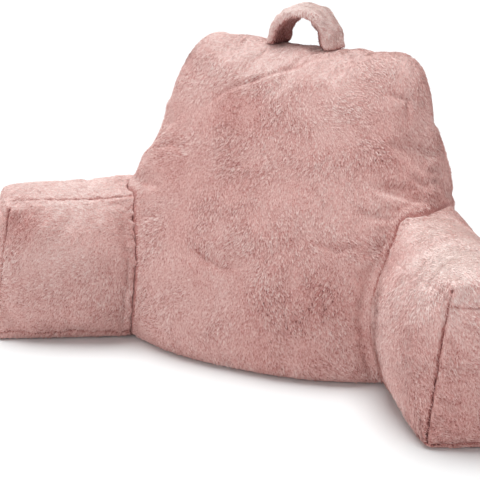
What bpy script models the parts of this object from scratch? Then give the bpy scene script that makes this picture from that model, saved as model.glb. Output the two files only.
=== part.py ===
"""Reading pillow with arms: a filled back cushion, a filled arm on each side and a carry handle.

Each sewn piece is one solid. A cushion starts as a box cage whose points are moved to the cushion's
own widths, depths and crown, with creases along its sewn edges, and a Subdivision Surface rounds it.
The arms and the handle are then cut by the back cushion, so that each meets it along its seam.
Metres, +Z up, front towards -Y.
"""

import math

import bmesh
import bpy
from mathutils import Vector

OBJECT_NAME = "reading_pillow"

SEAM_GAP = 0.0003
SUBDIVISIONS = 2

# The back cushion: wide and deep at the base, narrow and thin at the top, leaning back.
# Columns: height of the level, half width, front at the sides, front in the middle, rear at the
# sides, rear in the middle, all in metres from the middle of the back's base.
BACK_COLUMNS = ("height", "half_width", "front_side", "front_mid", "rear_side", "rear_mid")
BACK_LEVELS = (
    (0.000, 0.246, -0.112, -0.194, 0.020, 0.090),
    (0.014, 0.254, -0.116, -0.200, 0.026, 0.096),
    (0.120, 0.264, -0.132, -0.198, 0.034, 0.100),
    (0.240, 0.262, -0.092, -0.152, 0.046, 0.098),
    (0.340, 0.220, -0.034, -0.104, 0.056, 0.098),
    (0.420, 0.196, -0.002, -0.060, 0.070, 0.094),
    (0.452, 0.164, 0.020, -0.026, 0.060, 0.078),
)
BACK_ACROSS = (-0.86, -0.48, 0.0, 0.48, 0.86)
BACK_THROUGH = (0.0,)
BACK_FLATNESS = 3
EAR_RISE = 0.009
EAR_PLACE = 0.72
TOP_TILT = 0.008

# An arm, seen from above: its inner face runs from the front seam of the back to the end panel, and
# its outer face from the back's side. Places are in metres from the middle of the back's base.
ARM_INNER_ROOT = (0.213, -0.140)
ARM_OUTER_ROOT = (0.256, 0.018)
ARM_WIDTH = 0.165
# Columns: share of the arm's length, height of the shoulder seam, height of the top, fullness of
# the inner face, fullness of the outer face.
ARM_COLUMNS = ("share", "shoulder", "top", "inner_full", "outer_full")
ARM_STATIONS = (
    (-0.14, 0.196, 0.250, 1.0, 0.0),
    (0.14, 0.198, 0.232, 1.0, 0.6),
    (0.55, 0.204, 0.224, 0.8, 1.0),
    (0.92, 0.210, 0.222, 0.3, 0.6),
    (1.02, 0.206, 0.216, 0.0, 0.2),
)
# Columns: share of the shoulder's height, how far the inner face bulges, how far the outer one does.
LEVEL_COLUMNS = ("share", "inner", "outer")
ARM_LEVELS = (
    (0.00, 0.002, -0.002),
    (0.30, 0.040, 0.018),
    (0.70, 0.056, 0.018),
    (1.00, 0.022, 0.004),
    (1.00, 0.000, -0.010),
)
ARM_ACROSS = (-0.5, 0.5)
ARM_TOP_CROWN = 0.014
ARM_END_CROWN = 0.020
ARM_END_SKEW = 0.015
ARM_LEAN = 0.115
ARM_SPREAD_TOP = 0.216
# Columns: name, side of the body, splay from straight ahead in degrees, length of the inner face,
# how much higher or lower than the stations its top is, how much further its base reaches.
ARM_SIDES = (
    ("left_arm", -1, 58.0, 0.184, -0.006, 0.030),
    ("right_arm", 1, 34.0, 0.212, 0.004, 0.0),
)

# The carry handle: a flat strap bent to an arch, both feet on top of the back.
HANDLE_HALF_SPAN = 0.052
HANDLE_RISE = 0.069
HANDLE_FOOT_HEIGHT = 0.442
HANDLE_DEPTH = 0.060
HANDLE_THICKNESS = 0.023
HANDLE_Y = 0.036
HANDLE_STATIONS = 7
HANDLE_SINK = 0.025

SEAM_CREASE = 0.45
FUR_COLOUR = (0.58, 0.36, 0.31, 1.0)
FUR_ROUGHNESS = 0.9


def clear_scene():
    for obj in list(bpy.data.objects):
        bpy.data.objects.remove(obj, do_unlink=True)


def new_collection(name):
    collection = bpy.data.collections.new(name)
    bpy.context.scene.collection.children.link(collection)
    return collection


def fur_material(name):
    material = bpy.data.materials.new(name)
    material.use_nodes = True
    shader = material.node_tree.nodes["Principled BSDF"]
    shader.inputs["Base Color"].default_value = FUR_COLOUR
    shader.inputs["Roughness"].default_value = FUR_ROUGHNESS
    shader.inputs["Metallic"].default_value = 0.0
    return material


def box_cage(cuts_x, cuts_y, cuts_z):
    """A box from -1 to 1, cut across each axis at the given places."""
    cage = bmesh.new()
    bmesh.ops.create_cube(cage, size=2.0)
    for axis, cuts in enumerate((cuts_x, cuts_y, cuts_z)):
        normal = [0.0, 0.0, 0.0]
        normal[axis] = 1.0
        for place in cuts:
            point = [place * part for part in normal]
            everything = cage.verts[:] + cage.edges[:] + cage.faces[:]
            bmesh.ops.bisect_plane(cage, geom=everything, plane_co=point, plane_no=normal)
    return cage


def crease_border(cage, axis, sign):
    """Creases the edges round one side of the box, as a seam round a panel does."""
    crease = cage.edges.layers.float.get("crease_edge") or cage.edges.layers.float.new("crease_edge")
    for edge in cage.edges:
        on_side = all(vert.co[axis] == sign for vert in edge.verts)
        flat = all(abs(face.normal[axis]) > 0.5 for face in edge.link_faces)
        if on_side and not flat:
            edge[crease] = SEAM_CREASE


def soft_object(cage, name, collection):
    """Makes a cage an object and rounds it."""
    mesh = bpy.data.meshes.new(name)
    bmesh.ops.recalc_face_normals(cage, faces=cage.faces[:])
    cage.to_mesh(mesh)
    cage.free()
    mesh.shade_smooth()
    mesh.materials.append(fur_material(name + "_fur"))
    obj = bpy.data.objects.new(name, mesh)
    collection.objects.link(obj)
    round_off(obj)
    return obj


def round_off(obj):
    rounding = obj.modifiers.new("rounding", "SUBSURF")
    rounding.levels = SUBDIVISIONS
    rounding.render_levels = SUBDIVISIONS


def row_at(rows, columns, place):
    """The row of a table at a place from -1, the first row, to 1, the last."""
    index = round((place + 1) / 2 * (len(rows) - 1))
    return dict(zip(columns, rows[index]))


def even_cuts(count):
    """Places between -1 and 1 that cut a box into as many spans as a table of count rows has."""
    return [2 * step / (count - 1) - 1 for step in range(1, count - 1)]


def back_point(across, through, up):
    """Where a point of the box belongs on the back cushion."""
    level = row_at(BACK_LEVELS, BACK_COLUMNS, up)
    fullness = 1 - abs(across) ** BACK_FLATNESS
    front = level["front_side"] + (level["front_mid"] - level["front_side"]) * fullness
    rear = level["rear_side"] + (level["rear_mid"] - level["rear_side"]) * fullness
    y = front + (rear - front) * (through + 1) / 2
    z = level["height"]
    if up > 0:
        z += EAR_RISE * up * min(1.0, abs(across) / EAR_PLACE) ** 2 - TOP_TILT * up * across
    return Vector((across * level["half_width"], y, z))


def make_back(collection):
    cage = box_cage(BACK_ACROSS, BACK_THROUGH, even_cuts(len(BACK_LEVELS)))
    crease_border(cage, 2, -1)
    for vert in cage.verts:
        vert.co = back_point(*vert.co)
    return soft_object(cage, "back_cushion", collection)


def arm_corners(splay, length):
    """The arm's four corners from above: inner root, inner end, outer root and outer end."""
    ahead = Vector((math.sin(splay), -math.cos(splay)))
    outward = Vector((math.cos(splay), math.sin(splay)))
    inner_end = Vector(ARM_INNER_ROOT) + length * ahead
    outer_end = inner_end + ARM_WIDTH * outward + ARM_END_SKEW * ahead
    return Vector(ARM_INNER_ROOT), inner_end, Vector(ARM_OUTER_ROOT), outer_end


def arm_point(along, across, up, side, splay, length, rise, spread):
    """Where a point of the box belongs on an arm."""
    station = row_at(ARM_STATIONS, ARM_COLUMNS, along)
    level = row_at(ARM_LEVELS, LEVEL_COLUMNS, up)
    inner_root, inner_end, outer_root, outer_end = arm_corners(splay, length)
    inner = inner_root.lerp(inner_end, station["share"])
    outer = outer_root.lerp(outer_end, station["share"])
    outward = (outer - inner).normalized()
    z = station["top"] if up == 1 else station["shoulder"] * level["share"]
    inner += outward * (ARM_LEAN * z - level["inner"] * station["inner_full"])
    outer += outward * level["outer"] * station["outer_full"]
    place = inner.lerp(outer, (across + 1) / 2)
    ahead = Vector((math.sin(splay), -math.cos(splay)))
    place += ahead * spread * max(0.0, station["share"] * (1 - z / ARM_SPREAD_TOP))
    if up == 1:
        z += rise + ARM_TOP_CROWN * (1 - across**2)
    if along == 1:
        place += ahead * ARM_END_CROWN * (1 - across**2) * (1 - up**2)
    return Vector((side * place.x, place.y, z))


def make_arm(name, side, splay_degrees, length, rise, spread, collection):
    splay = math.radians(splay_degrees)
    cage = box_cage(even_cuts(len(ARM_STATIONS)), ARM_ACROSS, even_cuts(len(ARM_LEVELS)))
    crease_border(cage, 2, -1)
    crease_border(cage, 0, 1)
    crease_border(cage, 1, -1)
    for vert in cage.verts:
        vert.co = arm_point(*vert.co, side, splay, length, rise, spread)
    return soft_object(cage, name, collection)


def handle_point(along, across, through):
    """Where a point of the box belongs on the handle's arch."""
    turn = math.pi / 2 * along
    half_span = HANDLE_HALF_SPAN + through * HANDLE_THICKNESS / 2
    rise = HANDLE_RISE + through * HANDLE_THICKNESS / 2
    x = half_span * math.sin(turn)
    z = HANDLE_FOOT_HEIGHT + rise * math.cos(turn)
    if abs(along) == 1:
        z -= HANDLE_SINK
    return Vector((x, HANDLE_Y + across * HANDLE_DEPTH / 2, z))


def make_handle(collection):
    cage = box_cage(even_cuts(HANDLE_STATIONS), (0.0,), ())
    for vert in cage.verts:
        vert.co = handle_point(*vert.co)
    return soft_object(cage, "carry_handle", collection)


def make_seam_cutter(back, collection):
    """A copy of the back cushion, larger all round by the seam's gap."""
    cutter = bpy.data.objects.new("back_seam_cutter", back.data.copy())
    collection.objects.link(cutter)
    round_off(cutter)
    growth = cutter.modifiers.new("growth", "DISPLACE")
    growth.mid_level = 0.0
    growth.strength = SEAM_GAP
    cutter.hide_render = True
    cutter.display_type = "WIRE"
    return cutter


def cut_along_back(piece, cutter):
    cut = piece.modifiers.new("seam", "BOOLEAN")
    cut.operation = "DIFFERENCE"
    cut.solver = "EXACT"
    cut.object = cutter


def centre_on_floor(pieces, collection):
    """Hangs every piece from one empty that puts the middle of their common base at the origin."""
    graph = bpy.context.evaluated_depsgraph_get()
    points = []
    for piece in pieces:
        shape = piece.evaluated_get(graph).to_mesh()
        points += [vert.co.copy() for vert in shape.vertices]
    low = [min(point[axis] for point in points) for axis in range(3)]
    high = [max(point[axis] for point in points) for axis in range(3)]
    frame = bpy.data.objects.new("pillow_frame", None)
    collection.objects.link(frame)
    frame.location = (-(low[0] + high[0]) / 2, -(low[1] + high[1]) / 2, -low[2])
    return frame


def main():
    clear_scene()
    parts = new_collection(OBJECT_NAME)
    cutters = new_collection(OBJECT_NAME + "_cutters")
    back = make_back(parts)
    cutter = make_seam_cutter(back, cutters)
    attached = [make_arm(*row, parts) for row in ARM_SIDES]
    attached.append(make_handle(parts))
    for piece in attached:
        cut_along_back(piece, cutter)
    bpy.context.view_layer.update()
    frame = centre_on_floor([back] + attached, parts)
    for piece in [back, cutter] + attached:
        piece.parent = frame


main()
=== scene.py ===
# %% [markdown]
# # A reading pillow with arms, in short pink fur
# The pillow is a filled back cushion with a filled arm on each side and a carry handle on top. All of it
# is covered in one short, dense faux fur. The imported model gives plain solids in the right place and
# size. This lesson gives each of them a stuffed, sewn skin, and then grows the fur on it. Lengths are in
# metres.

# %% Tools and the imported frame
import math

import bmesh
import bpy
import numpy as np
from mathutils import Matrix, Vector, noise
from mathutils.bvhtree import BVHTree
from mathutils.kdtree import KDTree


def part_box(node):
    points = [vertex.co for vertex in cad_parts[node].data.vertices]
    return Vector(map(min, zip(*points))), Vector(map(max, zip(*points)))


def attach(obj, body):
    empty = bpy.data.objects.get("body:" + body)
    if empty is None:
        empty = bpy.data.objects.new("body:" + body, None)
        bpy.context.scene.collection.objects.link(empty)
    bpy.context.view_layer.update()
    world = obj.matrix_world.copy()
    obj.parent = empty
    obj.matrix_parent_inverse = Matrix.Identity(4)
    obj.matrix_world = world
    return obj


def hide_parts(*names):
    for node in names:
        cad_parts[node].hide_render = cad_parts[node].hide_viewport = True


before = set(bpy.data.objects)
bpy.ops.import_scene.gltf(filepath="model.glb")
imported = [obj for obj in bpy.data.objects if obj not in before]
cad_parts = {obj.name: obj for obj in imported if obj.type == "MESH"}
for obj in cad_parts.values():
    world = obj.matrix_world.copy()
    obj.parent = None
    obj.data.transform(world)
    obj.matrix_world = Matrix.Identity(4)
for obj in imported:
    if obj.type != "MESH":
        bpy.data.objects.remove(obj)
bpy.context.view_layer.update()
CUSHIONS = ("back_cushion", "left_arm", "right_arm")
NODES = CUSHIONS + ("carry_handle",)
NEIGHBOURS = {
    "back_cushion": ("left_arm", "right_arm", "carry_handle"),
    "left_arm": ("back_cushion",),
    "right_arm": ("back_cushion",),
    "carry_handle": ("back_cushion",),
}

# %% [markdown]
# ## Meshes as arrays
# Moving tens of thousands of points one at a time is slow in Python. Blender can hand over all points of
# a mesh at once with `foreach_get`, and numpy then moves them together. These short helpers do that, and
# store what was worked out as named attributes, which the fur and the materials read later.


# %% Helpers for points, normals and attributes
def points_of(mesh):
    points = np.empty(len(mesh.vertices) * 3)
    mesh.vertices.foreach_get("co", points)
    return points.reshape(-1, 3)


def normals_of(mesh):
    normals = np.empty(len(mesh.vertices) * 3, np.float32)
    mesh.vertex_normals.foreach_get("vector", normals)
    return normals.reshape(-1, 3).astype(float)


def set_points(mesh, points):
    mesh.vertices.foreach_set("co", points.ravel())
    mesh.update()


def keep_values(mesh, name, values):
    mesh.attributes.new(name, "FLOAT", "POINT").data.foreach_set("value", values.astype(np.float32))


def keep_vectors(mesh, name, vectors):
    mesh.attributes.new(name, "FLOAT_VECTOR", "POINT").data.foreach_set(
        "vector", vectors.astype(np.float32).ravel()
    )


def values_of(mesh, name):
    values = np.empty(len(mesh.vertices), np.float32)
    mesh.attributes[name].data.foreach_get("value", values)
    return values


def smooth_step(values, low, high):
    share = np.clip((values - low) / (high - low), 0, 1)
    return share * share * (3 - 2 * share)


def waves(points, size, seed):
    """Smooth noise from about -1 to 1 at each point, in lumps of about that size in metres."""
    shift = Vector((seed * 3.7, seed * -5.1, seed * 2.3))
    return np.array([noise.noise(Vector(point) / size + shift) for point in points]) * 1.6


WAVE_COLUMNS = ("height", "size", "seed")


def layered_waves(points, layers):
    """The sum of several noises, each with a height, a size and a seed."""
    rows = [dict(zip(WAVE_COLUMNS, layer)) for layer in layers]
    return sum(row["height"] * waves(points, row["size"], row["seed"]) for row in rows)


print("noise at the origin, in lumps of 5 cm:", round(float(waves(np.zeros((1, 3)), 0.05, 1)[0]), 3))

# %% [markdown]
# ## From CAD solid to an even skin
# A CAD node is loose triangles of all sizes, and cloth needs even ones. Subdividing them would keep the
# uneven sizes, so a copy is welded first and then remeshed into voxels of a few millimetres. A light
# smoothing takes off the voxels' small steps.

# %% An even skin over each solid
WELD_DISTANCE = 0.00002
SKIN_VOXEL = {"back_cushion": 0.007, "left_arm": 0.007, "right_arm": 0.007, "carry_handle": 0.003}


def welded_copy(node):
    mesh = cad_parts[node].data.copy()
    work = bmesh.new()
    work.from_mesh(mesh)
    bmesh.ops.remove_doubles(work, verts=work.verts, dist=WELD_DISTANCE)
    bmesh.ops.recalc_face_normals(work, faces=work.faces)
    work.to_mesh(mesh)
    work.free()
    return mesh


def new_piece(name, mesh):
    piece = bpy.data.objects.new(name, mesh)
    bpy.context.scene.collection.objects.link(piece)
    return piece


def apply_modifiers(piece):
    graph = bpy.context.evaluated_depsgraph_get()
    mesh = bpy.data.meshes.new_from_object(piece.evaluated_get(graph))
    piece.modifiers.clear()
    piece.data = mesh


def even_skin(node):
    piece = new_piece(node + "_skin", welded_copy(node))
    remesh = piece.modifiers.new("voxels", "REMESH")
    remesh.mode = "VOXEL"
    remesh.voxel_size = SKIN_VOXEL[node]
    smooth = piece.modifiers.new("no steps", "SMOOTH")
    smooth.factor = 0.5
    smooth.iterations = 3
    apply_modifiers(piece)
    return piece


def tree_of(mesh):
    """The mesh as a tree that finds the nearest surface point to any place quickly."""
    corners = [vert.co.copy() for vert in mesh.vertices]
    return BVHTree.FromPolygons(corners, [tuple(face.vertices) for face in mesh.polygons])


trees = {node: tree_of(welded_copy(node)) for node in NODES}
skins = {node: even_skin(node) for node in NODES}
for node in NODES:
    print(node, "skin has", len(skins[node].data.polygons), "faces")

# %% [markdown]
# ## Where the seams run
# Each arm is sewn from an inner panel, a top panel that wraps round the outside, and an end panel, and the
# back has a seam where its rear panel meets the front one. The panels could be meshes of their own, but
# one closed skin swells evenly, so the seams are lines on it. They lie on the solid's soft edges. The
# outline of each arm from above, in metres, gives points near those edges, and the nearest point of the
# solid puts them on its surface. Each line has a strength, from 0 to 1, for how deep the seam is drawn in.

# %% The seam lines
ARM_OUTLINES = {
    "left_arm": {
        "inner_root": (-0.206, -0.030),
        "inner_end": (-0.362, -0.127),
        "outer_end": (-0.462, 0.005),
        "outer_root": (-0.249, 0.128),
        "set_back": 0.024,
        "lift": 0.031,
        "spread": 0.030,
    },
    "right_arm": {
        "inner_root": (0.220, -0.030),
        "inner_end": (0.3385, -0.206),
        "outer_end": (0.484, -0.126),
        "outer_root": (0.263, 0.128),
        "set_back": 0.0,
        "lift": 0.0,
        "spread": 0.0,
    },
}
ARM_LEAN = 0.115
SHOULDER_SHARES = (-0.10, 0.14, 0.55, 0.92, 1.02)
SHOULDER_BULGES = (0.022, 0.022, 0.018, 0.007, 0.0)
SHOULDER_HEIGHTS = (0.197, 0.198, 0.204, 0.210, 0.206)
END_SHARE = 1.02
END_TOP = 0.218
END_BROW = 0.195
LINE_SPACING = 0.002
REAR_STRENGTH = 0.7
SHOULDER_STRENGTHS = {"left_arm": 0.55, "right_arm": 0.12}
END_EDGES = ((0, END_TOP, 0.8), (1, END_BROW, 0.7))
BROW_STRENGTH = 0.45


def arm_sides(arm, share, height):
    """The arm's inner and outer edge at a share of its length, with its lean, and the way between them."""
    outline = {key: Vector(value) for key, value in ARM_OUTLINES[arm].items() if isinstance(value, tuple)}
    inner = outline["inner_root"].lerp(outline["inner_end"], share)
    outer = outline["outer_root"].lerp(outline["outer_end"], share)
    outward = (outer - inner).normalized()
    ahead = (outline["inner_end"] - outline["inner_root"]).normalized()
    further = ahead * ARM_OUTLINES[arm]["spread"] * share * (1 - height / END_TOP)
    return inner + further + outward * ARM_LEAN * height, outer + further, outward


def shoulder_line(arm):
    line = []
    for share in np.linspace(SHOULDER_SHARES[0], SHOULDER_SHARES[-1], 12):
        height = float(np.interp(share, SHOULDER_SHARES, SHOULDER_HEIGHTS))
        bulge = float(np.interp(share, SHOULDER_SHARES, SHOULDER_BULGES))
        inner, _, outward = arm_sides(arm, share, height)
        inner += outward * (ARM_OUTLINES[arm]["set_back"] - bulge)
        line.append((inner.x, inner.y, height + ARM_OUTLINES[arm]["lift"]))
    return line


def end_edge_line(arm, edge, top):
    """Up the inner (0) or outer (1) edge of the end panel."""
    return [(*arm_sides(arm, END_SHARE, height)[edge], height) for height in np.linspace(0.0, top, 8)]


def end_brow_line(arm):
    """Across the end panel, under its top."""
    inner, outer, _ = arm_sides(arm, END_SHARE, END_BROW)
    return [(*inner.lerp(outer, share), END_BROW) for share in np.linspace(0.0, 1.0, 8)]


def rear_panel_line():
    """Up one side of the back's rear, across under its top and down the other, as shares of its box."""
    low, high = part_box("back_cushion")
    shares = ((0.10, 0.02), (0.05, 0.25), (0.10, 0.52), (0.16, 0.75), (0.22, 0.93), (0.36, 0.97))
    shares += tuple((1 - across, up) for across, up in shares[::-1])
    wide, tall = high.x - low.x, high.z - low.z
    return [(low.x + wide * across, high.y, low.z + tall * up) for across, up in shares]


def laid_on(node, line):
    """The line's points close together, each moved to the nearest point of the solid."""
    laid = []
    for start, end in zip(line, line[1:]):
        start, end = Vector(start), Vector(end)
        steps = max(1, round((end - start).length / LINE_SPACING))
        laid += [start.lerp(end, step / steps) for step in range(steps)]
    return [trees[node].find_nearest(point)[0] for point in laid + [Vector(line[-1])]]


seam_lines = {
    "back_cushion": [(laid_on("back_cushion", rear_panel_line()), REAR_STRENGTH)],
    "carry_handle": [],
}
for arm, strength in SHOULDER_STRENGTHS.items():
    seam_lines[arm] = [(laid_on(arm, shoulder_line(arm)), strength)]
    for edge, top, strength in END_EDGES:
        seam_lines[arm].append((laid_on(arm, end_edge_line(arm, edge, top)), strength))
    seam_lines[arm].append((laid_on(arm, end_brow_line(arm)), BROW_STRENGTH))
for node in CUSHIONS:
    print(node, "has seams of", [round(LINE_SPACING * len(line), 2) for line, _ in seam_lines[node]], "m")

# %% [markdown]
# ## Filling the cushions
# A stuffed cover is cloth under pressure: it swells between its seams and is held in along them. Moving
# points outwards by a formula gives an even balloon, and Blender's Cloth gives what cloth does. The seams,
# the flat base and the faces that touch a neighbour are pinned, gravity is off, and the pressure of the
# filling pushes the rest out for 20 frames. The cap keeps a soft panel from swelling past its solid.

# %% Distances that steer the filling
SEAM_REACH = 0.010
SEAM_HELD = 0.003
FUR_DEPTH = 0.0028
HANDLE_ROOM = 0.6
CONTACT = 0.014
CONTACT_HELD = 0.002
FARTHEST = 0.06
BASE_HEIGHT = 0.006
BASE_FACING = -0.6


def distance_to_neighbours(node, points):
    """How far each point is from the solids that are sewn to this node, up to the farthest that matters."""
    others = [trees[other] for other in NEIGHBOURS[node]]
    near = []
    for point in points:
        spot = Vector(point)
        near.append(min(tree.find_nearest(spot, FARTHEST)[3] or FARTHEST for tree in others))
    return np.array(near)


def nearest_seam(node, points, surface):
    """Distance to the nearest seam, laid on that surface, and its strength, for each point."""
    rows = [
        (surface.find_nearest(spot)[0], strength)
        for line, strength in seam_lines[node]
        for spot in line
    ]
    if not rows:
        return np.full(len(points), 1.0), np.zeros(len(points))
    tree = KDTree(len(rows))
    for index, row in enumerate(rows):
        tree.insert(row[0], index)
    tree.balance()
    found = [tree.find(point) for point in points]
    distance = np.array([hit[2] for hit in found])
    strength = np.array([rows[hit[1]][1] for hit in found])
    return distance, strength


def on_base(points, normals):
    return (points[:, 2] < BASE_HEIGHT) & (normals[:, 2] < BASE_FACING)


# %% A slightly smaller start, and pins where the cover is held
for node in NODES:
    skin = skins[node]
    points, normals = points_of(skin.data), normals_of(skin.data)
    near = distance_to_neighbours(node, points)
    base = on_base(points, normals)
    room = FUR_DEPTH if node in CUSHIONS else HANDLE_ROOM * FUR_DEPTH
    depth = room * smooth_step(near, 0.0, CONTACT) * ~base
    set_points(skin.data, points - normals * depth[:, None])
    seam_distance, strength = nearest_seam(node, points, trees[node])
    held = np.maximum(strength * (1 - smooth_step(seam_distance, SEAM_HELD, SEAM_REACH)), base)
    held = np.maximum(held, 1 - smooth_step(near, CONTACT_HELD, CONTACT))
    group = skin.vertex_groups.new(name="sewn")
    for level in np.unique(np.round(held, 1)):
        members = np.flatnonzero(np.round(held, 1) == level).tolist()
        group.add(members, float(level), "REPLACE")
    print(node, "is held at", int((held > 0.5).sum()), "of", len(held), "points")

# %% The filling swells the cushions
SWELL_CAP = 0.007
FILL_PRESSURE = 4.0
SLACK = -0.035
LAST_FRAME = 20


def add_filling(skin):
    cloth = skin.modifiers.new("filling", "CLOTH")
    cloth.settings.quality = 5
    cloth.settings.mass = 0.3
    cloth.settings.tension_stiffness = 10.0
    cloth.settings.compression_stiffness = 10.0
    cloth.settings.bending_stiffness = 0.3
    cloth.settings.shrink_min = SLACK
    cloth.settings.vertex_group_mass = "sewn"
    cloth.settings.use_pressure = True
    cloth.settings.uniform_pressure_force = FILL_PRESSURE
    cloth.settings.effector_weights.gravity = 0.0
    cloth.point_cache.frame_start, cloth.point_cache.frame_end = 1, LAST_FRAME


before = {node: points_of(skins[node].data) for node in CUSHIONS}
for node in CUSHIONS:
    add_filling(skins[node])
for step in range(1, LAST_FRAME + 1):
    bpy.context.scene.frame_set(step)
for node in CUSHIONS:
    apply_modifiers(skins[node])
    move = points_of(skins[node].data) - before[node]
    length = np.maximum(np.linalg.norm(move, axis=1), 1e-9)
    swelling = np.minimum(length, SWELL_CAP)
    move *= (swelling / length)[:, None]
    set_points(skins[node].data, before[node] + move)
    print(node, "swelled by", round(float(1000 * swelling.mean()), 1), "mm on average")
bpy.context.scene.frame_set(1)

# %% [markdown]
# ## Seams, puckers and lumps
# A seam is a narrow groove with short puckers across it, and the filling is never quite even, so the
# panels get slow, shallow lumps. A few creases run where the cover is slack. The remesh can't keep anything
# narrower than a voxel, so all of this comes after it. One subdivision gives points 3 to 4 mm apart, and
# the edges beside a seam are halved once more, because a groove of 2 mm needs points of its own. A finer
# skin everywhere would cost far more triangles and show nothing more. Another seam runs low down round
# each cushion, where its base panel meets the others. Each crease is a line in shares of the piece's box,
# from low to high X and Z, laid on its front.

# %% The sizes of seams, creases and lumps
SEAM_DEPTH = 0.0055
SEAM_WIDTH = 0.0021
PUCKER_DEPTH = 0.0018
PUCKER_SIZE = 0.011
PUCKER_REACH = 0.018
LUMP_DEPTH = 0.0024
LUMPS = ((0.7, 0.11, 1), (0.3, 0.045, 2))
WANDER = 0.35
WANDER_SIZE = 0.030
BASE_SEAM_COLUMNS = ("height", "strength")
BASE_SEAMS = {"back_cushion": (0.005, 0.3), "left_arm": (0.013, 0.6), "right_arm": (0.006, 0.4)}
CREASE_COLUMNS = ("depth", "width", "shares")
CREASES = {
    "back_cushion": (
        (0.0028, 0.005, ((0.27, 0.78), (0.36, 0.85), (0.44, 0.885), (0.52, 0.93), (0.64, 0.965))),
        (0.0025, 0.005, ((0.33, 0.385), (0.38, 0.35), (0.44, 0.33), (0.50, 0.335))),
        (0.0035, 0.005, ((0.80, 0.86), (0.86, 0.845), (0.905, 0.79))),
        (0.0022, 0.005, ((0.84, 0.62), (0.90, 0.60), (0.945, 0.60))),
        (0.0022, 0.005, ((0.86, 0.55), (0.90, 0.545), (0.94, 0.56))),
        (0.0025, 0.006, ((0.14, 0.64), (0.19, 0.66), (0.24, 0.655))),
        (0.0025, 0.004, ((0.47, 0.62), (0.475, 0.585))),
        (0.0025, 0.005, ((0.70, 0.44), (0.77, 0.42), (0.83, 0.44))),
    ),
    "left_arm": (),
    "right_arm": (
        (0.0030, 0.004, ((0.57, 0.63), (0.62, 0.56), (0.59, 0.49))),
        (0.0032, 0.004, ((0.54, 0.29), (0.61, 0.28), (0.68, 0.31))),
        (0.0028, 0.004, ((0.54, 0.20), (0.60, 0.17), (0.66, 0.21))),
        (0.0028, 0.004, ((0.57, 0.13), (0.63, 0.11), (0.70, 0.14))),
    ),
}
print("creases:", {node: len(rows) for node, rows in CREASES.items()})


# %% Where the cover creases
AHEAD = 0.1
CREASE_FADE = 0.12


def crease_line(node, shares):
    """The crease's points, found straight ahead of the node's front, then laid on its surface."""
    low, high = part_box(node)
    line = []
    for across, up in shares:
        ahead = low.y - AHEAD
        start = Vector((low.x + (high.x - low.x) * across, ahead, low.z + (high.z - low.z) * up))
        hit = trees[node].ray_cast(start, Vector((0, 1, 0)))[0]
        line.append(hit if hit is not None else Vector((start.x, (low.y + high.y) / 2, start.z)))
    return laid_on(node, line)


def crease_depth(node, points, surface):
    """How far each point sinks into the node's creases, each fading out at its ends."""
    sunk = np.zeros(len(points))
    for row in CREASES[node]:
        crease = dict(zip(CREASE_COLUMNS, row))
        spots = crease_line(node, crease["shares"])
        line = np.array([surface.find_nearest(spot)[0] for spot in spots])
        fade = np.sin(np.linspace(CREASE_FADE, math.pi - CREASE_FADE, len(line)))
        for spot, share in zip(line[::2], fade[::2]):
            distance = np.linalg.norm(points - spot, axis=1)
            dip = crease["depth"] * share * np.exp(-((distance / crease["width"]) ** 2))
            sunk = np.maximum(sunk, dip)
    return sunk


# %% Points of its own for every seam
FINER_BAND = 0.0055


def subdivided(node):
    finer = skins[node].modifiers.new("finer", "SUBSURF")
    finer.levels = finer.render_levels = 1
    apply_modifiers(skins[node])


def base_seam(node, points, normals):
    """Each point's distance to the seam that runs round the base, wandering up and down, and its strength."""
    seam = dict(zip(BASE_SEAM_COLUMNS, BASE_SEAMS[node]))
    height = seam["height"] * (1 + WANDER * waves(points * (1, 1, 0), WANDER_SIZE, 4))
    distance = np.where(on_base(points, normals), 1.0, np.abs(points[:, 2] - height))
    return distance, seam["strength"]


def finer_beside_seams(node):
    mesh = skins[node].data
    points, normals = points_of(mesh), normals_of(mesh)
    seam_distance, _ = nearest_seam(node, points, tree_of(mesh))
    base_distance, _ = base_seam(node, points, normals)
    distance = np.minimum(seam_distance, base_distance)
    work = bmesh.new()
    work.from_mesh(mesh)
    beside = [edge for edge in work.edges if max(distance[vert.index] for vert in edge.verts) < FINER_BAND]
    bmesh.ops.subdivide_edges(work, edges=beside, cuts=1, use_grid_fill=True)
    work.to_mesh(mesh)
    work.free()


for node in CUSHIONS:
    subdivided(node)
    finer_beside_seams(node)
    print(node, "now has", len(skins[node].data.polygons), "faces")

# %% [markdown]
# ## Where two pieces are sewn together
# An arm is sewn to the back along its rim, and there the two covers meet in a thin line. The skins come
# from two solids with soft rims, which leave a gap like a V between them. A wider solid would close it but
# overlap its neighbour, so each rim is moved a little less than half way to the other one instead.

# %% Drawing the rims together
JOIN_PULL = 0.42
JOIN_TOUCH = 0.0004
JOIN_START = 0.003
JOIN_REACH = 0.009


def drawn_together(node, points, near):
    """How each point of a rim moves towards the nearest point of the piece that is sewn on there."""
    share = JOIN_PULL * (1 - smooth_step(near, JOIN_START, JOIN_REACH)) * (near > JOIN_TOUCH)
    move = np.zeros_like(points)
    for index in np.flatnonzero(share):
        spots = [trees[other].find_nearest(Vector(points[index]), FARTHEST) for other in NEIGHBOURS[node]]
        nearest = min((spot for spot in spots if spot[0] is not None), key=lambda spot: spot[3])
        move[index] = (np.array(nearest[0]) - points[index]) * share[index]
    return move


# %% The finished skins
SETTLE = 0.0006
LOWEST = 0.0008
TUCK_SHADE = 0.6
TUCK_WIDTH = 0.0010
CREASE_SHADE = 65
BARE_JOIN = 0.0009
MOST_BARE = 0.85


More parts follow.
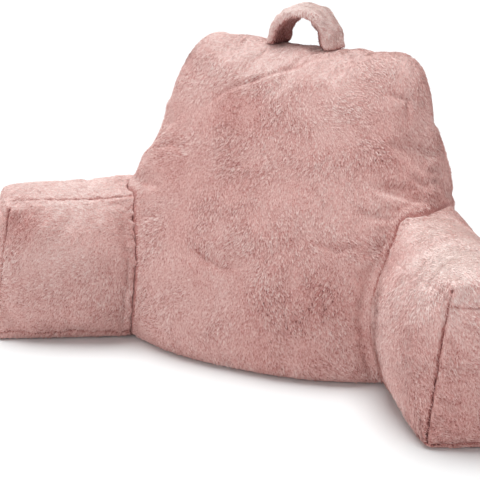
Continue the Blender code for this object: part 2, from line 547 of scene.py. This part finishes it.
def grooves_and_puckers(node, points, normals, surface):
    """How deep each point is in a seam, from 0 to 1, and how much the cover puckers there."""
    seam_distance, strength = nearest_seam(node, points, surface)
    base_distance, base_strength = base_seam(node, points, normals)
    groove = strength * np.exp(-((seam_distance / SEAM_WIDTH) ** 2))
    groove = np.maximum(groove, base_strength * np.exp(-((base_distance / SEAM_WIDTH) ** 2)))
    pucker = np.exp(-seam_distance / PUCKER_REACH) * strength
    pucker = np.maximum(pucker, base_strength * np.exp(-base_distance / PUCKER_REACH))
    return groove, pucker * waves(points * (1, 1, 0.35), PUCKER_SIZE, 3)


def shape_cushion(node):
    mesh = skins[node].data
    points, normals = points_of(mesh), normals_of(mesh)
    near = distance_to_neighbours(node, points)
    base = on_base(points, normals)
    surface = tree_of(mesh)
    groove, pucker = grooves_and_puckers(node, points, normals, surface)
    creased = crease_depth(node, points, surface)
    move = LUMP_DEPTH * layered_waves(points, LUMPS) + PUCKER_DEPTH * pucker - SEAM_DEPTH * groove
    move -= creased
    move = move * smooth_step(near, 0.0, CONTACT) - SETTLE
    points = points + normals * (move * ~base)[:, None]
    points += drawn_together(node, points, near) * ~base[:, None]
    points[:, 2] = np.maximum(points[:, 2], LOWEST)
    set_points(mesh, points)
    # The seam value is painted shade: dark in the seam grooves, along the thin join where two pieces meet,
    # and in the creases.
    tuck = TUCK_SHADE * np.exp(-((near / TUCK_WIDTH) ** 2))
    keep_values(mesh, "seam", np.maximum(np.maximum(groove, tuck), CREASE_SHADE * creased))
    hidden = base | (near < BARE_JOIN)
    keep_values(mesh, "bare", np.where(hidden, 1.0, np.clip(1.1 * groove, 0, MOST_BARE)))
    print(node, "sinks", round(float(1000 * -move.min()), 1), "mm at its deepest seam")


for node in CUSHIONS:
    shape_cushion(node)

# %% [markdown]
# ## The carry handle
# The handle is a wide strap of the same fur, folded over and lightly stuffed. Its outside is round, and
# its inside is drawn in between two soft rims, where the edges were turned under. It is too thin for the
# pressure simulation, which would need much smaller voxels, so the hollow is a push along the arch's own
# spokes, and slow noise adds the dents.

# %% Denting the handle
HOLLOW = 0.0025
STRAP_WIDENING = 0.17
HOOP_FOOT = 0.012
SOLE = 0.0022
DENTS = ((0.0022, 0.022, 5), (0.0012, 0.010, 6))


def spokes_of_hoop(points, low, high):
    """The way from the hoop's middle to each point, seen from the front."""
    spokes = points - ((low[0] + high[0]) / 2, 0, low[2] + HOOP_FOOT)
    spokes[:, 1] = 0
    return spokes / np.maximum(np.linalg.norm(spokes, axis=1), 1e-6)[:, None]


def shape_handle():
    mesh = skins["carry_handle"].data
    points, normals = points_of(mesh), normals_of(mesh)
    low, high = (np.array(corner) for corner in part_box("carry_handle"))
    spokes = spokes_of_hoop(points, low, high)
    inside = smooth_step(-(normals * spokes).sum(axis=1), 0.25, 0.80)
    off_middle = points[:, 1] - (low[1] + high[1]) / 2
    across = np.abs(off_middle) / ((high[1] - low[1]) / 2)
    hollow = HOLLOW * inside * (1 - smooth_step(across, 0.25, 0.85))
    near = distance_to_neighbours("carry_handle", points)
    move = spokes * hollow[:, None] + normals * layered_waves(points, DENTS)[:, None]
    move[:, 1] += STRAP_WIDENING * off_middle
    set_points(mesh, points + move * smooth_step(near, 0.0, 0.01)[:, None])
    keep_values(mesh, "inside", inside)
    # Painted shade: the seam value darkens the handle where its feet meet the back.
    keep_values(mesh, "seam", np.exp(-((near / 0.005) ** 2)))
    keep_values(mesh, "bare", np.where(near < SOLE, 1.0, 0.0))
    print("the handle is", round(float(1000 * hollow.max()), 1), "mm hollow inside its arch")


shape_handle()

# %% [markdown]
# ## Which way the fur lies
# Fur has a nap: it lies down, mostly downwards and a little away from the middle, and it swirls where
# hands have brushed it. Combing it by hand with a hair tool would not repeat, so each point of a skin keeps
# the nap as a vector along the surface, worked out from a direction and slow noise. Where the nap is
# brushed against the light the fur looks darker and pinker, so some soft patches are listed as well, in
# shares of each node's box, with a radius in metres and how dark (or light, below 0) they are. The dark
# patches are mostly brushed nap, and the widest one on the back is painted shade. The light patches are
# painted light, most of them on the tops, and all up-facing skin is painted paler too. Some of the fur is
# ruffled and the rest lies calm.

# %% The nap, and the patches of brushed nap, painted light and painted shade
NAP_SPREAD = 4.2
MOST_SPREAD = 1.1
FORWARDS = -0.30
UP_FACING = (0.45, 0.95)
SWIRL = {"back_cushion": 0.75, "left_arm": 0.7, "right_arm": 0.9, "carry_handle": 0.9}
RUFFLED = {"back_cushion": 0.85, "left_arm": 0.65, "right_arm": 0.60, "carry_handle": 0.9}
PAINTED_TOP_LIGHT = 0.80
UNEVEN_SHADE = ((0.14, 0.060, 21), (0.08, 0.022, 22))
PATCH_COLUMNS = ("across", "deep", "up", "radius", "dark")
# Dark patches are mostly brushed nap, and the widest on the back is painted shade. Light ones, below 0, are
# painted light.
PATCHES = {
    "back_cushion": (
        (0.37, 0.40, 0.80, 0.040, 0.9),
        (0.47, 0.36, 0.77, 0.028, 0.5),
        (0.83, 0.42, 0.72, 0.050, 0.4),
        (0.93, 0.44, 0.58, 0.045, 0.5),
        (0.22, 0.30, 0.58, 0.030, 0.5),
        (0.62, 0.06, 0.15, 0.080, 0.5),
        (0.75, 0.07, 0.27, 0.050, 0.5),
        (0.44, 0.46, 0.90, 0.060, -0.6),
        (0.30, 0.45, 0.90, 0.050, -0.3),
        (0.70, 0.45, 0.84, 0.050, -0.2),
        (0.40, 0.25, 0.56, 0.130, 0.4),
    ),
    "left_arm": (
        (0.43, 0.12, 0.77, 0.034, 1.0),
        (0.54, 0.19, 0.83, 0.020, 0.5),
        (0.65, 0.14, 0.57, 0.050, -0.3),
        (0.62, 0.30, 0.99, 0.070, -0.5),
    ),
    "right_arm": (
        (0.62, 0.03, 0.30, 0.090, 0.5),
        (0.62, 0.04, 0.12, 0.045, 0.3),
        (0.16, 0.40, 0.80, 0.030, 0.6),
        (0.10, 0.35, 0.45, 0.050, -0.3),
        (0.36, 0.12, 0.60, 0.035, 0.4),
        (0.55, 0.25, 0.95, 0.080, -0.8),
        (0.39, 0.20, 0.89, 0.060, -0.6),
        (0.46, 0.14, 0.80, 0.055, -0.3),
        (0.30, 0.55, 0.98, 0.070, -0.6),
    ),
    "carry_handle": ((0.20, 0.20, 0.20, 0.016, 0.9), (0.60, 0.40, 0.95, 0.025, -0.5)),
}


def nap_at(points, normals, swirl):
    spread = np.clip(NAP_SPREAD * points[:, 0], -MOST_SPREAD, MOST_SPREAD)
    flow = np.stack([spread, np.full(len(points), FORWARDS), np.full(len(points), -1.0)], axis=1)
    flow -= normals * (flow * normals).sum(axis=1)[:, None]
    flow /= np.maximum(np.linalg.norm(flow, axis=1), 1e-6)[:, None]
    side = np.cross(normals, flow)
    turn = swirl * waves(points, 0.070, 11) + 0.45 * swirl * waves(points, 0.024, 12)
    return flow * np.cos(turn)[:, None] + side * np.sin(turn)[:, None]


# Mottle and patches of brushed nap, with painted light and painted shade, at each point.
def nap_mottle_with_painted_light(node, points):
    low, high = (np.array(corner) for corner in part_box(node))
    dark = layered_waves(points, UNEVEN_SHADE)
    for row in PATCHES[node]:
        patch = dict(zip(PATCH_COLUMNS, row))
        centre = low + (high - low) * (patch["across"], patch["deep"], patch["up"])
        distance = np.linalg.norm(points - centre, axis=1) * (1 + 0.35 * waves(points, 0.030, 23))
        dark += patch["dark"] * np.exp(-((distance / patch["radius"]) ** 2))
    return dark


# %% Keeping the nap, the mottle with its painted light and shade, and the ruffle on each skin
PAINTED_INSIDE_SHADE = 2.3
PAINTED_OUTSIDE_LIGHT = -0.9
RUFFLES = ((1.0, 0.050, 31), (0.5, 0.018, 32))
RUFFLE_RANGE = (-0.9, 1.2)
CALM_TOP = 0.6
SKIN_TONE = 0.5
SKIN_TIP = 0.33
for node in NODES:
    mesh = skins[node].data
    points, normals = points_of(mesh), normals_of(mesh)
    keep_vectors(mesh, "nap", nap_at(points, normals, SWIRL[node]))
    facing_up = smooth_step(normals[:, 2], *UP_FACING)
    # Skin that faces up is painted paler: painted light on the tops.
    shade = nap_mottle_with_painted_light(node, points) - PAINTED_TOP_LIGHT * facing_up
    # The handle's inside is painted darker, as painted shade under the arch, and its outside paler, as
    # painted light.
    if node == "carry_handle":
        shade += PAINTED_INSIDE_SHADE * values_of(mesh, "inside") + PAINTED_OUTSIDE_LIGHT
    keep_values(mesh, "shade", shade)
    ruffle = smooth_step(layered_waves(points, RUFFLES), *RUFFLE_RANGE)
    ruffle *= RUFFLED[node] * (1 - CALM_TOP * facing_up)
    keep_values(mesh, "ruffle", ruffle)
    keep_values(mesh, "tone", np.full(len(points), SKIN_TONE))
    keep_values(mesh, "tip", np.full(len(points), SKIN_TIP))
    print(node, "has a mean shade of", round(float(shade.mean()), 2))

# %% [markdown]
# ## The fur's colours
# The fur is one pink, but no two locks look alike: each lock has its own tone, and brushed patches are
# deeper. Some of the colour is painted light and shade: the roots are painted darker than the tips, as
# shade deep in the pile, the seams, joins and creases are painted dark, the lower part is painted darker,
# fine streaked flecks paint the light and shade of small clumps, and the tops are painted paler. One flat
# colour would look like felt. A node group turns those facts, which the meshes hold as attributes, into a
# colour and a roughness, so that the skin and the locks always agree. Sheen is what makes fur look soft at
# its edges, and it stays on each material's own socket.

# %% Short ways to add and link nodes
def enabled(sockets, name=None):
    """The first socket in use, of that name if one is given. A node hides the kinds that it doesn't use."""
    return next(socket for socket in sockets if socket.enabled and name in (None, socket.name))


class Bench:
    """Adds nodes to one tree. A value is a number, a name or another node's output."""

    def __init__(self, tree):
        self.nodes, self.links = tree.nodes, tree.links

    def put(self, socket, value):
        if isinstance(value, bpy.types.NodeSocket):
            self.links.new(value, socket)
        else:
            socket.default_value = value

    def add(self, kind, inputs, **settings):
        node = self.nodes.new(kind)
        for name, value in settings.items():
            setattr(node, name, value)
        for name, value in inputs.items():
            self.put(enabled(node.inputs, name), value)
        return node

    def maths(self, operation, first, second):
        node = self.add("ShaderNodeMath", {}, operation=operation)
        self.put(node.inputs[0], first)
        self.put(node.inputs[1], second)
        return node.outputs[0]

    def vector_maths(self, operation, first, second):
        node = self.add("ShaderNodeVectorMath", {}, operation=operation)
        self.put(node.inputs[0], first)
        self.put(enabled(node.inputs, "Scale") if operation == "SCALE" else node.inputs[1], second)
        return node.outputs["Vector"]


# %% A node group for the fur's colour
ROOT_PINK = (0.16, 0.055, 0.050, 1.0)
DEEP_PINK = (0.48, 0.190, 0.170, 1.0)
MID_PINK = (0.720, 0.436, 0.402, 1.0)
PALE_PINK = (0.915, 0.785, 0.745, 1.0)
PINK_STOPS = ((0.16, DEEP_PINK), (0.52, MID_PINK))
DRAWN_OUT = (1.0, 1.0, 0.4)
PAINTED_LOW_SHADE_RANGE = {"From Min": 0.0, "From Max": 0.20, "To Min": -0.06, "To Max": 0.0}
FACTS = ("tone", "tip", "shade", "seam")
BRIGHTENERS = (
    ("tone", 0.34),
    # Painted shade in the pile: the roots are darker than the tips.
    ("tip", 0.26),
    ("speckle", 0.10),
    # Painted shade and highlight of the pile's small clumps.
    ("painted_clump_flecks", 0.84),
    # Painted shade: darker towards the bottom.
    ("painted low shade", 1.0),
    # Mottle and brushed nap, with painted light on the tops and painted shade in patches.
    ("shade", -0.20),
    # Painted shade in the seams, the joins and the creases.
    ("seam", -0.55),
)
BRIGHT_START = -0.198


def bright_sources(bench):
    """What makes the fur lighter or darker: the meshes' attributes, two noises, and painted shade by height.
    """
    place = bench.add("ShaderNodeTexCoord", {}).outputs["Object"]
    drawn_out = bench.add("ShaderNodeMapping", {"Vector": place, "Scale": DRAWN_OUT}).outputs["Vector"]
    height = bench.add("ShaderNodeSeparateXYZ", {"Vector": place}).outputs["Z"]
    speckle = bench.add("ShaderNodeTexNoise", {"Vector": place, "Scale": 120.0, "Detail": 3.0})
    # Fine streaks that paint the light and shade of small clumps.
    painted_clump_flecks = bench.add("ShaderNodeTexNoise", {"Vector": drawn_out, "Scale": 620.0, "Detail": 2.0})
    # Painted shade that darkens the fur towards the bottom.
    painted_low_shade = bench.add("ShaderNodeMapRange", {"Value": height}, interpolation_type="SMOOTHSTEP")
    for name, value in PAINTED_LOW_SHADE_RANGE.items():
        bench.put(enabled(painted_low_shade.inputs, name), value)
    facts = {name: bench.add("ShaderNodeAttribute", {}, attribute_name=name) for name in FACTS}
    sources = {name: fact.outputs["Fac"] for name, fact in facts.items()}
    sources["speckle"] = speckle.outputs["Fac"]
    sources["painted_clump_flecks"] = painted_clump_flecks.outputs["Fac"]
    sources["painted low shade"] = painted_low_shade.outputs["Result"]
    return sources


def fur_colour_group():
    group = bpy.data.node_groups.new("fur colour", "ShaderNodeTree")
    group.interface.new_socket("Colour", in_out="OUTPUT", socket_type="NodeSocketColor")
    group.interface.new_socket("Roughness", in_out="OUTPUT", socket_type="NodeSocketFloat")
    bench = Bench(group)
    sources = bright_sources(bench)
    weighed = [bench.maths("MULTIPLY", sources[name], weight) for name, weight in BRIGHTENERS]
    bright = weighed[0]
    for part in weighed[1:]:
        bright = bench.maths("ADD", bright, part)
    bright = bench.maths("ADD", bright, BRIGHT_START)
    ramp = bench.add("ShaderNodeValToRGB", {"Fac": bright})
    ramp.color_ramp.elements[0].color = ROOT_PINK
    ramp.color_ramp.elements[1].color = PALE_PINK
    for place, pink in PINK_STOPS:
        ramp.color_ramp.elements.new(place).color = pink
    rough = bench.maths("SUBTRACT", 0.98, bench.maths("MULTIPLY", sources["tip"], 0.18))
    bench.add("NodeGroupOutput", {"Colour": ramp.outputs["Color"], "Roughness": rough})
    return group


fur_colour = fur_colour_group()
print("the colour group has", len(fur_colour.nodes), "nodes")


# %% The material of the skin and of the locks
FUR_SOCKETS = {
    "Sheen Roughness": 0.40,
    "Sheen Tint": (1.0, 0.86, 0.84, 1.0),
    "Specular IOR Level": 0.25,
}


def fur_material(name, bump_size, bump_height, sheen):
    material = bpy.data.materials.new(name)
    material.use_nodes = True
    bench = Bench(material.node_tree)
    shader = bench.nodes["Principled BSDF"]
    shader.inputs["Sheen Weight"].default_value = sheen
    for socket, value in FUR_SOCKETS.items():
        shader.inputs[socket].default_value = value
    colour = bench.add("ShaderNodeGroup", {}, node_tree=fur_colour)
    place = bench.add("ShaderNodeTexCoord", {}).outputs["Object"]
    drawn_out = bench.add("ShaderNodeMapping", {"Vector": place, "Scale": DRAWN_OUT}).outputs["Vector"]
    hairs = bench.add("ShaderNodeTexNoise", {"Vector": drawn_out, "Scale": bump_size, "Detail": 4.0})
    relief = {"Strength": 0.6, "Distance": bump_height, "Height": hairs.outputs["Fac"]}
    bench.put(shader.inputs["Normal"], bench.add("ShaderNodeBump", relief).outputs["Normal"])
    bench.put(shader.inputs["Base Color"], colour.outputs["Colour"])
    bench.put(shader.inputs["Roughness"], colour.outputs["Roughness"])
    print("material", name, "with sheen", sheen)
    return material


skin_fur = fur_material("short fur ground", 480.0, 0.0016, 0.45)
lock_fur = fur_material("short fur locks", 900.0, 0.0004, 0.12)

# %% [markdown]
# ## Growing the locks
# Short fur clumps into small locks a few millimetres wide. Blender's hair curves would draw every strand,
# but they aren't a mesh, and a strand is too fine for one. So Geometry Nodes scatter points over a skin and
# put a three-sided spike on each, flattened and laid along the nap, with its own size, lean and tone. A
# lock has only four faces, because there are tens of thousands of them, and they are shaded flat: smooth
# shading would bend the light round its three sharp edges and turn the fur dark. The tree ends in Realize
# Instances and Set Material, and its result is turned into a plain mesh.

# %% The locks' sizes and chances
LOCK_TONE = 0.52
CALM_SPREAD = 0.38
RUFFLED_SPREAD = 0.70
LEAN_RANGE = (-0.08, 0.14)
RUFFLED_LEAN = 0.28
STRAY_RANGE = (-0.35, 0.35)
WIDTH_RANGE = (0.7, 1.4)
LENGTH_RANGE = (0.65, 1.3)
FLATNESS = 0.45
SHORTER_AT_SEAM = 0.55
LOWEST_HAIR = 0.0004
LOCK_INPUTS = (
    ("Locks per Square Metre", "NodeSocketFloat", 50000.0),
    ("Length", "NodeSocketFloat", 0.009),
    ("Width", "NodeSocketFloat", 0.0032),
    ("Lean", "NodeSocketFloat", 0.17),
    ("Seed", "NodeSocketInt", 1),
    ("Where", "NodeSocketString", "grow"),
)


def chance(bench, given, limits, turn):
    """A random number for each lock. Each use has a turn of its own, so that no two uses agree."""
    seed = bench.maths("ADD", given["Seed"], float(turn))
    inputs = {"Min": limits[0], "Max": limits[1], "Seed": seed}
    return enabled(bench.add("FunctionNodeRandomValue", inputs, data_type="FLOAT").outputs)


def attribute(bench, name, kind="FLOAT"):
    return enabled(bench.add("GeometryNodeInputNamedAttribute", {"Name": name}, data_type=kind).outputs)


def store(bench, geometry, name, value):
    inputs = {"Geometry": geometry, "Name": name, "Value": value}
    return bench.add("GeometryNodeStoreNamedAttribute", inputs, data_type="FLOAT").outputs["Geometry"]


def parts_of_place(bench):
    place = bench.add("GeometryNodeInputPosition", {}).outputs["Position"]
    return bench.add("ShaderNodeSeparateXYZ", {"Vector": place}).outputs


# %% One lock: its shape, its size and the way it lies
def one_lock(bench):
    """A three-sided spike, 1 high, that knows how near its tip each point is."""
    sizes = {"Vertices": 3, "Radius Top": 0.0, "Radius Bottom": 0.5, "Depth": 1.0}
    spike = bench.add("GeometryNodeMeshCone", sizes).outputs["Mesh"]
    return store(bench, spike, "tip", parts_of_place(bench)["Z"])


def lock_size(bench, given):
    width = bench.maths("MULTIPLY", given["Width"], chance(bench, given, WIDTH_RANGE, 4))
    length = bench.maths("MULTIPLY", given["Length"], chance(bench, given, LENGTH_RANGE, 5))
    shorter = bench.maths("MULTIPLY", attribute(bench, "seam"), SHORTER_AT_SEAM)
    length = bench.maths("MULTIPLY", length, bench.maths("SUBTRACT", 1.0, shorter))
    sizes = {"X": width, "Y": bench.maths("MULTIPLY", width, FLATNESS), "Z": length}
    return bench.add("ShaderNodeCombineXYZ", sizes).outputs["Vector"]


def lock_rotation(bench, given, ruffle, normal):
    """Along the nap, raised by its lean and a little astray, with its flat side to the skin."""
    nap = attribute(bench, "nap", "FLOAT_VECTOR")
    lean = bench.maths("ADD", given["Lean"], chance(bench, given, LEAN_RANGE, 2))
    lean = bench.maths("ADD", lean, bench.maths("MULTIPLY", ruffle, RUFFLED_LEAN))
    along = bench.vector_maths("SCALE", nap, bench.maths("COSINE", lean, 0.0))
    up = bench.vector_maths("SCALE", normal, bench.maths("SINE", lean, 0.0))
    side = bench.vector_maths("CROSS_PRODUCT", nap, normal)
    stray = bench.vector_maths("SCALE", side, chance(bench, given, STRAY_RANGE, 3))
    heading = bench.vector_maths("ADD", bench.vector_maths("ADD", along, up), stray)
    turn = bench.add("FunctionNodeAlignRotationToVector", {"Vector": heading}, axis="Z")
    inputs = {"Rotation": turn.outputs["Rotation"], "Vector": normal}
    flat = bench.add("FunctionNodeAlignRotationToVector", inputs, axis="Y", pivot_axis="Z")
    return flat.outputs["Rotation"]


def kept_off_floor(bench, geometry):
    parts = parts_of_place(bench)
    height = bench.maths("MAXIMUM", parts["Z"], LOWEST_HAIR)
    place = bench.add("ShaderNodeCombineXYZ", {"X": parts["X"], "Y": parts["Y"], "Z": height})
    inputs = {"Geometry": geometry, "Position": place.outputs["Vector"]}
    return bench.add("GeometryNodeSetPosition", inputs).outputs["Geometry"]


# %% The node tree that grows the locks
def planted_locks(bench, given):
    """The locks as instances on points scattered over the skin."""
    where = attribute(bench, given["Where"])
    inputs = {
        "Mesh": given["Geometry"],
        "Density": bench.maths("MULTIPLY", given["Locks per Square Metre"], where),
        "Seed": given["Seed"],
    }
    scatter = bench.add("GeometryNodeDistributePointsOnFaces", inputs)
    ruffle = attribute(bench, "ruffle")
    spread = bench.maths("ADD", bench.maths("MULTIPLY", ruffle, RUFFLED_SPREAD), CALM_SPREAD)
    tone = bench.maths("MULTIPLY", chance(bench, given, (-1.0, 1.0), 1), spread)
    tone = bench.maths("ADD", tone, LOCK_TONE)
    inputs = {
        "Points": store(bench, scatter.outputs["Points"], "tone", tone),
        "Instance": one_lock(bench),
        "Rotation": lock_rotation(bench, given, ruffle, scatter.outputs["Normal"]),
        "Scale": lock_size(bench, given),
    }
    return bench.add("GeometryNodeInstanceOnPoints", inputs).outputs["Instances"]


def lock_tree():
    tree = bpy.data.node_groups.new("fur locks", "GeometryNodeTree")
    tree.interface.new_socket("Geometry", in_out="INPUT", socket_type="NodeSocketGeometry")
    for name, kind, value in LOCK_INPUTS:
        tree.interface.new_socket(name, in_out="INPUT", socket_type=kind).default_value = value
    tree.interface.new_socket("Geometry", in_out="OUTPUT", socket_type="NodeSocketGeometry")
    bench = Bench(tree)
    given = bench.add("NodeGroupInput", {}).outputs
    real = bench.add("GeometryNodeRealizeInstances", {"Geometry": planted_locks(bench, given)})
    above = kept_off_floor(bench, real.outputs["Geometry"])
    faceted = bench.add("GeometryNodeSetShadeSmooth", {"Geometry": above, "Shade Smooth": False})
    inputs = {"Geometry": faceted.outputs["Geometry"], "Material": lock_fur}
    painted = bench.add("GeometryNodeSetMaterial", inputs)
    bench.add("NodeGroupOutput", {"Geometry": painted.outputs["Geometry"]})
    return tree


locks = lock_tree()
print("the lock tree has", len(locks.nodes), "nodes")

# %% [markdown]
# ## One coat for each cushion
# One piece may have 200,000 triangles, which is 50,000 locks of four faces. The back needs more than that,
# so its front and its rear are two coats, with a soft border between them where the locks of both mix. The
# front's locks are finer than the rear's, because it is what one sees first. The base that rests on the
# floor and the hidden faces between the pieces stay bare. Calm fur has fewer locks than ruffled fur, and
# some of the skin shows between the locks.

# %% Growing the coats
COAT_COLUMNS = ("name", "node", "where", "locks", "length", "width", "seed")
COATS = (
    ("back_front_fur", "back_cushion", "grow_front", 49000, 0.0052, 0.0024, 1),
    ("back_rear_fur", "back_cushion", "grow_rear", 33000, 0.0060, 0.0030, 2),
    ("left_arm_fur", "left_arm", "grow", 36000, 0.0052, 0.0025, 3),
    ("right_arm_fur", "right_arm", "grow", 40000, 0.0052, 0.0025, 4),
    ("carry_handle_fur", "carry_handle", "grow", 8000, 0.0050, 0.0023, 5),
)
CALM_CROWD = 0.6
FRONT_BORDER = (0.15, 0.45)


def grow_masks(node):
    mesh = skins[node].data
    crowd = CALM_CROWD + (1 - CALM_CROWD) * values_of(mesh, "ruffle")
    grow = (1.0 - values_of(mesh, "bare")) * crowd
    front = 1 - smooth_step(normals_of(mesh)[:, 1], *FRONT_BORDER)
    keep_values(mesh, "grow", grow)
    keep_values(mesh, "grow_front", grow * front)
    keep_values(mesh, "grow_rear", grow * (1 - front))


def covered_area(mesh, mask):
    """The area that grows fur, from each face's area and the mask's mean over its corners."""
    values = values_of(mesh, mask)
    return sum(face.area * values[list(face.vertices)].mean() for face in mesh.polygons)


def grow_coat(row):
    coat = dict(zip(COAT_COLUMNS, row))
    source = skins[coat["node"]]
    piece = new_piece(coat["name"], source.data)
    grower = piece.modifiers.new("fur", "NODES")
    grower.node_group = locks
    wanted = {
        "Locks per Square Metre": coat["locks"] / covered_area(source.data, coat["where"]),
        "Length": coat["length"],
        "Width": coat["width"],
        "Seed": coat["seed"],
        "Where": coat["where"],
    }
    for socket in locks.interface.items_tree:
        if socket.in_out == "INPUT" and socket.name in wanted:
            grower[socket.identifier] = wanted[socket.name]
    apply_modifiers(piece)
    print(piece.name, "has", len(piece.data.vertices) // 4, "locks")
    return piece


for node in NODES:
    grow_masks(node)
coats = {row[0]: grow_coat(row) for row in COATS}

# %% [markdown]
# ## Handing the pieces over
# Each skin stands for its CAD solid, which is then hidden. The coats ride on the same body.

# %% Riding and replacing
SKIN_NAMES = {"carry_handle": "handle_skin"}
for node in NODES:
    skin = skins[node]
    skin.name = SKIN_NAMES.get(node, node + "_skin")
    skin.data.materials.clear()
    skin.data.materials.append(skin_fur)
    skin.data.polygons.foreach_set("use_smooth", [True] * len(skin.data.polygons))
    skin.vertex_groups.clear()
    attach(skin, "root")
    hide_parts(node)
for piece in coats.values():
    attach(piece, "root")
shown = [skins[node] for node in NODES] + list(coats.values())
triangles = {piece.name: sum(len(face.vertices) - 2 for face in piece.data.polygons) for piece in shown}
print("triangles:", triangles, "in all", sum(triangles.values()))

# %% [markdown]
# ## Floor, light and camera
# A pale floor and a pale surround make the plain studio setting. A small lamp would give hard shadows, and
# a lamp near the pillow would leave the far floor dark, so both lights are of the sun type, which lights
# the whole floor evenly, and wide, which makes the shadow soft. One from above gives the tops their light,
# and a weaker one from the front fills what faces the camera. The camera stands ahead and to the right of
# the pillow, a little above it, with a long lens.

# %% The floor and the lights
scene = bpy.context.scene
scene.view_settings.view_transform = "Standard"
FLOOR_REACH = 6
FLOOR_COLOUR = (0.845, 0.870, 0.875, 1.0)
SKY_STRENGTH = 0.38
WALL_STRENGTH = 1.1
floor_mesh = bpy.data.meshes.new("floor")
reach = FLOOR_REACH
corners = [(-reach, -reach, 0), (reach, -reach, 0), (reach, reach, 0), (-reach, reach, 0)]
floor_mesh.from_pydata(corners, [], [(0, 1, 2, 3)])
floor = new_piece("floor", floor_mesh)
floor_paint = bpy.data.materials.new("pale floor")
floor_paint.use_nodes = True
floor_shader = floor_paint.node_tree.nodes["Principled BSDF"]
floor_shader.inputs["Base Color"].default_value = FLOOR_COLOUR
floor_shader.inputs["Roughness"].default_value = 0.8
floor_mesh.materials.append(floor_paint)

world = bpy.data.worlds.new("studio")
world.use_nodes = True
sky = world.node_tree.nodes["Background"]
sky.inputs["Color"].default_value = (1.0, 1.0, 1.0, 1.0)
sky.inputs["Strength"].default_value = SKY_STRENGTH
studio = Bench(world.node_tree)
white_wall = studio.add("ShaderNodeBackground", {"Strength": WALL_STRENGTH})
seen = studio.add("ShaderNodeLightPath", {})
either = studio.add("ShaderNodeMixShader", {"Fac": seen.outputs["Is Camera Ray"]})
studio.put(either.inputs[1], sky.outputs["Background"])
studio.put(either.inputs[2], white_wall.outputs["Background"])
studio.put(studio.nodes["World Output"].inputs["Surface"], either.outputs["Shader"])
scene.world = world

LAMP_COLUMNS = ("name", "from", "softness", "strength")
LAMPS = (
    ("top light", (-0.10, 0.10, 1.0), 40.0, 2.75),
    ("front light", (-0.20, -1.0, 0.18), 50.0, 0.85),
)
for row in LAMPS:
    lamp_row = dict(zip(LAMP_COLUMNS, row))
    lamp_data = bpy.data.lights.new(lamp_row["name"], "SUN")
    lamp_data.angle = math.radians(lamp_row["softness"])
    lamp_data.energy = lamp_row["strength"]
    lamp = bpy.data.objects.new(lamp_row["name"], lamp_data)
    scene.collection.objects.link(lamp)
    lamp.rotation_euler = Vector(lamp_row["from"]).to_track_quat("Z", "Y").to_euler()
    print(lamp.name, "has strength", lamp_row["strength"])

# %% The camera
VIEW_AZIMUTH = math.radians(27.5)
VIEW_ELEVATION = math.radians(16.3)
VIEW_DISTANCE = 1.97
VIEW_TARGET = Vector((-0.035, 0.010, 0.174))
LENS = 97.5
SENSOR = 36.0
toward_camera = Vector(
    (
        math.sin(VIEW_AZIMUTH) * math.cos(VIEW_ELEVATION),
        -math.cos(VIEW_AZIMUTH) * math.cos(VIEW_ELEVATION),
        math.sin(VIEW_ELEVATION),
    )
)
camera_data = bpy.data.cameras.new("camera")
camera_data.lens = LENS
camera_data.sensor_width = SENSOR
camera = bpy.data.objects.new("camera", camera_data)
scene.collection.objects.link(camera)
camera.location = VIEW_TARGET + toward_camera * VIEW_DISTANCE
camera.rotation_euler = toward_camera.to_track_quat("Z", "Y").to_euler()
scene.camera = camera
print("the camera stands at", [round(value, 2) for value in camera.location])
